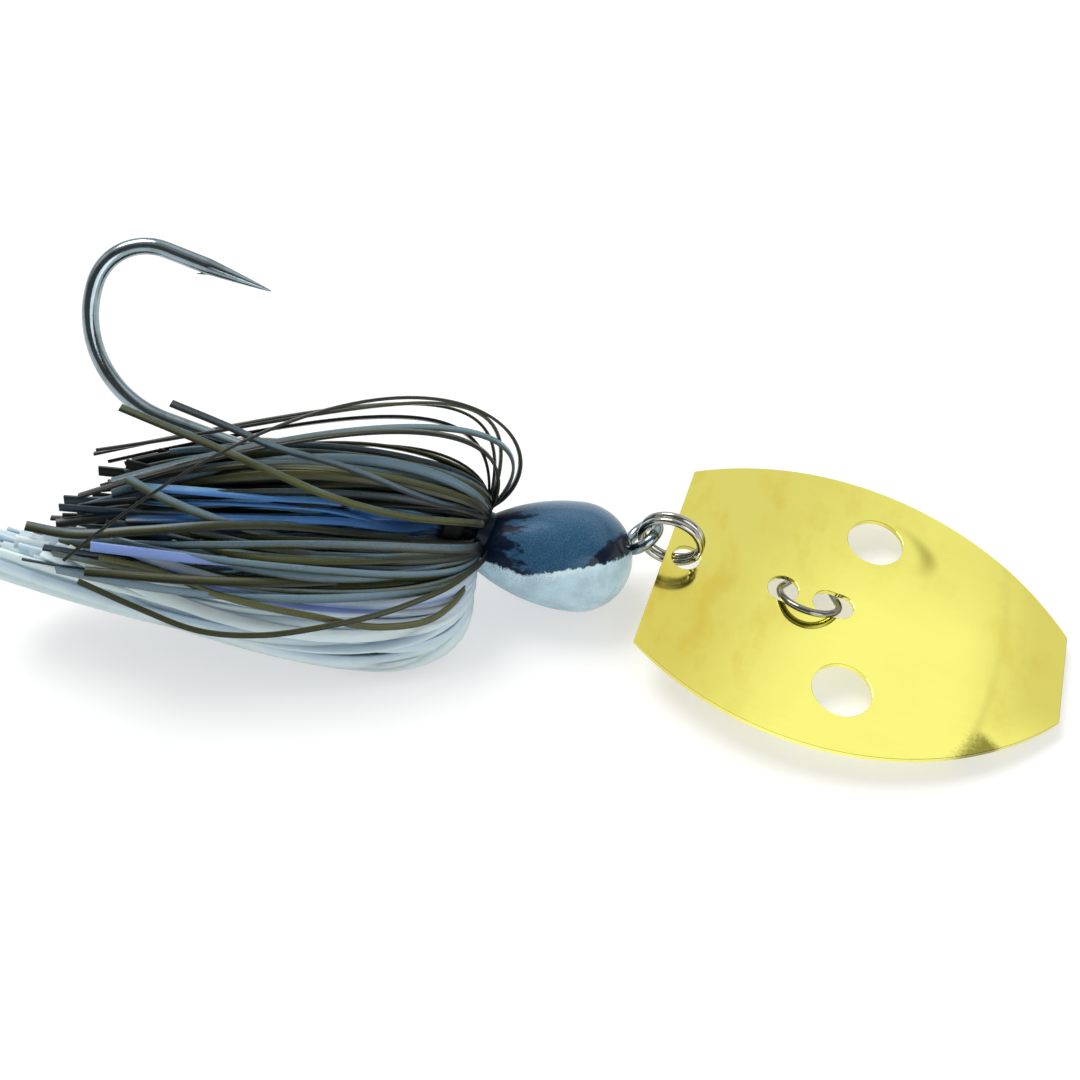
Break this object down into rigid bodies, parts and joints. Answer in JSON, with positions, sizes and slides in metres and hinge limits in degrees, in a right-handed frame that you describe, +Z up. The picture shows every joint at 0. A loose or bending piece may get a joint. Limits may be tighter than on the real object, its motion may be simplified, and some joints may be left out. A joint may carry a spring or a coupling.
{
  "type": "bladed jig",
  "caption": "Bladed jig: lead head cast on a hook, silicone strand skirt, and a flat brass blade on a split ring with a wire snap as line tie.",
  "frame": {"origin": "middle of the bounding box, on the table the part lies on", "axes": "+X from the skirt to the blade, +Y away from the side the picture is taken from, +Z up"},
  "size_m": [0.1049, 0.0383, 0.0319],
  "materials": {
    "hook_steel": "dark nickel, polished",
    "head_paint": "gloss clear coat over slate blue with a white belly",
    "band_rubber": "matt",
    "ring_steel": "bright spring steel",
    "blade_brass": "polished",
    "snap_steel": "bright spring steel",
    "skirt_olive": "silicone, satin",
    "skirt_lilac": "silicone, satin",
    "skirt_white": "silicone, translucent",
    "skirt_blue": "silicone, satin"
  },
  "bodies": {
    "jig": {"hook": "hook_steel", "head": "head_paint", "skirt_band": "band_rubber", "skirt_loops": "skirt_olive", "skirt_top_near": "skirt_olive", "skirt_side_near": "skirt_olive", "skirt_lilac": "skirt_lilac", "skirt_belly_near": "skirt_white", "skirt_belly_far": "skirt_white", "skirt_side_far": "skirt_olive", "skirt_top_far": "skirt_olive", "core_top_near": "skirt_olive", "core_blue": "skirt_blue", "core_white": "skirt_white", "core_far": "skirt_olive", "core_top_far": "skirt_olive"},
    "link": {"split_ring": "ring_steel"},
    "paddle": {"blade": "blade_brass"},
    "clip": {"snap": "snap_steel"}
  },
  "joints": [
    {"name": "ring_swing", "type": "hinge", "parent": "jig", "child": "link", "pos_m": [0.01076, 0.00407, 0.00649], "axis": [-0.2447, 0.0843, 0.9659], "range_deg": [-20, 80]},
    {"name": "blade_swing", "type": "hinge", "parent": "link", "child": "paddle", "pos_m": [0.0135, 0.00313, 0.00727], "axis": [-0.3256, -0.9455, 0], "range_deg": [-8, 90]},
    {"name": "snap_swing", "type": "hinge", "parent": "paddle", "child": "clip", "pos_m": [0.02705, -0.00154, 0.00372], "axis": [-0.9422, 0.3244, 0.0837], "range_deg": [0, 120]}
  ]
}
